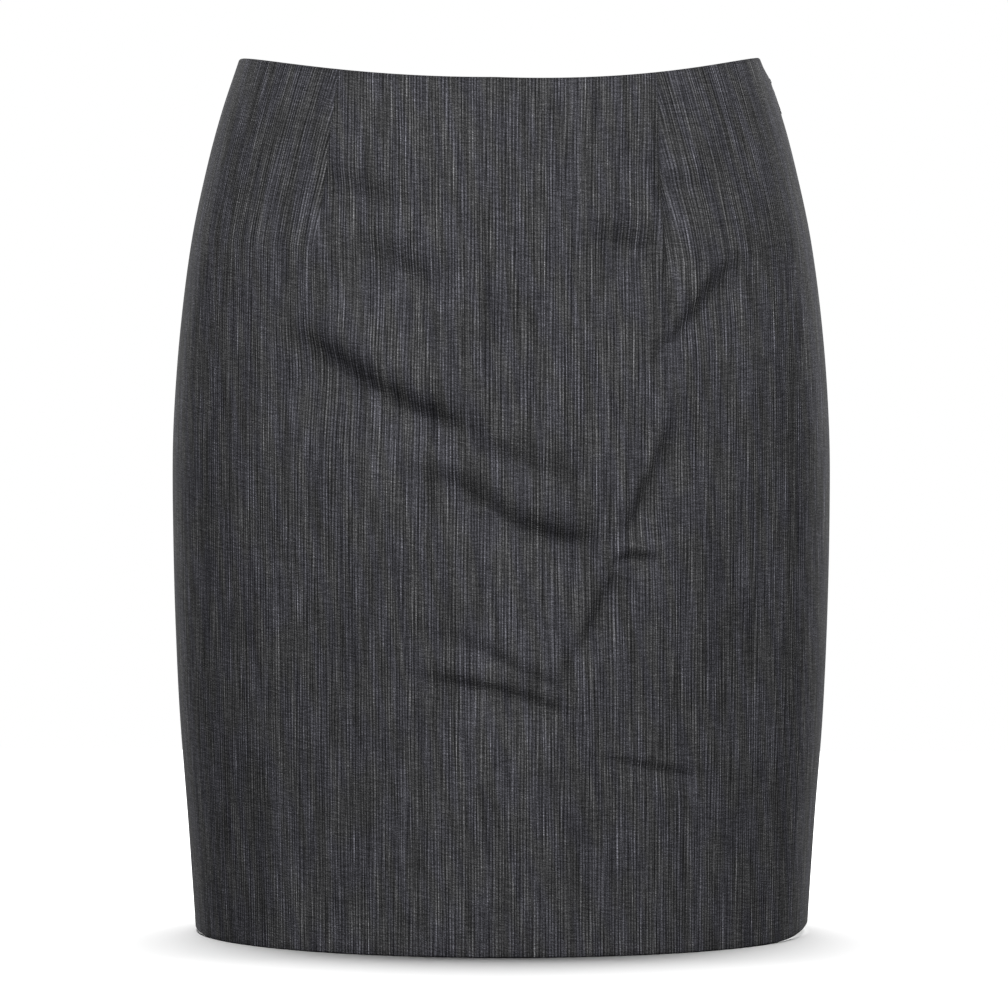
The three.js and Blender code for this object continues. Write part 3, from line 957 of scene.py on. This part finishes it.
def pull_out(down):
    """How far the plate stands out of the seam at a distance under its bar."""
    if down <= CRANK[0][1]:
        return CRANK[0][0]
    for (out, start), (next_out, end) in zip(CRANK, CRANK[1:]):
        if down <= end:
            return out + (next_out - out) * (down - start) / (end - start)
    return CRANK[-1][0]


round_start = PULL["long"] - PULL["half"]
downs = [-PULL["bar"], PULL["bar"], 1.2, 2.2, 3.2, PULL["window_end"], 5.2, 6.2, 8, 11, 14, round_start]
pull_rows = [(down, 1) for down in downs]
for turn in END_TURNS:
    turn = math.radians(turn)
    pull_rows.append((round_start + PULL["half"] * math.sin(turn), math.cos(turn)))
mesh = bmesh.new()
columns, rows = len(PULL_COLUMNS) - 1, len(pull_rows) - 1
bmesh.ops.create_grid(mesh, x_segments=columns, y_segments=rows, size=0.5)
for corner in mesh.verts:
    across = PULL_COLUMNS[round((corner.co.x + 0.5) * columns)]
    down, narrow = pull_rows[round((0.5 - corner.co.y) * rows)]
    corner.co = (pull_out(down), across * narrow, -down)
window = []
for face in mesh.faces:
    middle = face.calc_center_median()
    if abs(middle.y) < PULL["window_half"] and -PULL["window_end"] < middle.z < -PULL["bar"]:
        window.append(face)
bmesh.ops.delete(mesh, geom=window, context="FACES")
bmesh.ops.recalc_face_normals(mesh, faces=mesh.faces)
bmesh.ops.translate(mesh, vec=(-PULL["thick"] / 2, 0, 0), verts=mesh.verts)
plate = bmesh.ops.extrude_face_region(mesh, geom=mesh.faces[:])
lifted = [corner for corner in plate["geom"] if isinstance(corner, bmesh.types.BMVert)]
bmesh.ops.translate(mesh, vec=(PULL["thick"], 0, 0), verts=lifted)
pull = hard_object("pull", mesh, PULL["bevel"])
for piece, body, node in ((slider, "skirt", "zip_slider"), (pull, "pull_tab", "zip_pull")):
    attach(piece, body)
    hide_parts(node)

# %% [markdown]
# ## Zip finishes
# The tape is polyester, woven in fine ribs that run down it, and matt. The coil is moulded nylon: smooth,
# with a soft gloss. The slider and its pull are cast zinc under a black lacquer, which is dark and smooth,
# with a faint orange-peel ripple and greyer specks where it has worn.

# %% Zip materials
TAPE = {"rib": 0.9, "pick": 0.7, "dark": "#161618", "pale": "#242428"}
NYLON = {"grain": 0.8, "dark": "#141416", "pale": "#1c1c1f"}
LACQUER = {"grain": 0.5, "dark": "#131315", "pale": "#2a2a2c"}


def tape_material(name):
    """Woven polyester: ribs down the tape, crossed by finer picks, with no gloss."""
    material, tree = new_material(name)
    cloth = add(tree, "ShaderNodeUVMap", uv_map="cloth")
    split = add(tree, "ShaderNodeSeparateXYZ", {0: cloth.outputs[0]})
    waves = []
    for axis, apart in ((0, TAPE["rib"]), (1, TAPE["pick"])):
        wave = {0: split.outputs[axis], 1: math.tau / (apart * MM)}
        turns = add(tree, "ShaderNodeMath", wave, operation="MULTIPLY")
        waves.append(add(tree, "ShaderNodeMath", {0: turns.outputs[0]}, operation="SINE"))
    woven = add(tree, "ShaderNodeMath", {0: waves[0].outputs[0], 1: waves[1].outputs[0]}, operation="ADD")
    level = add(tree, "ShaderNodeMapRange", {0: woven.outputs[0], 1: -2, 2: 2})
    shades = {0: level.outputs[0], 6: linear(TAPE["dark"]), 7: linear(TAPE["pale"])}
    colour = add(tree, "ShaderNodeMix", shades, data_type="RGBA")
    bump = add(tree, "ShaderNodeBump", {"Strength": 0.5, "Distance": 0.15 * MM, "Height": level.outputs[0]})
    finish = {"Base Color": colour.outputs[2], "Normal": bump.outputs[0], "Roughness": 0.85}
    surface = add(tree, "ShaderNodeBsdfPrincipled", finish)
    add(tree, "ShaderNodeOutputMaterial", {"Surface": surface.outputs[0]})
    return material


def smooth_material(name, look, finish):
    """A smooth dark finish whose shade and surface vary at a grain of some millimetres."""
    material, tree = new_material(name)
    place = add(tree, "ShaderNodeTexCoord")
    grains = {"Vector": place.outputs["Object"], "Scale": 1 / (look["grain"] * MM), "Detail": 2.0}
    wave = add(tree, "ShaderNodeTexNoise", grains)
    level = add(tree, "ShaderNodeMapRange", {0: wave.outputs[0], 1: 0.45, 2: 0.75})
    shades = {0: level.outputs[0], 6: linear(look["dark"]), 7: linear(look["pale"])}
    colour = add(tree, "ShaderNodeMix", shades, data_type="RGBA")
    bump = add(tree, "ShaderNodeBump", {"Strength": 0.15, "Distance": 0.05 * MM, "Height": wave.outputs[0]})
    finish = {"Base Color": colour.outputs[2], "Normal": bump.outputs[0], **finish}
    surface = add(tree, "ShaderNodeBsdfPrincipled", finish)
    add(tree, "ShaderNodeOutputMaterial", {"Surface": surface.outputs[0]})
    return material


woven_tape = tape_material("woven polyester zip tape")
moulded = {"Roughness": 0.45, "IOR": 1.53}
nylon = smooth_material("moulded nylon", NYLON, moulded)
lacquered = {"Roughness": 0.42, "Specular IOR Level": 0.3}
lacquer = smooth_material("black lacquered zinc", LACQUER, lacquered)
for tape in tapes:
    tape.data.materials.append(woven_tape)
coil.data.materials.append(nylon)
for piece in (slider, pull):
    piece.data.materials.append(lacquer)
print("materials:", [material.name for material in bpy.data.materials if material.users])
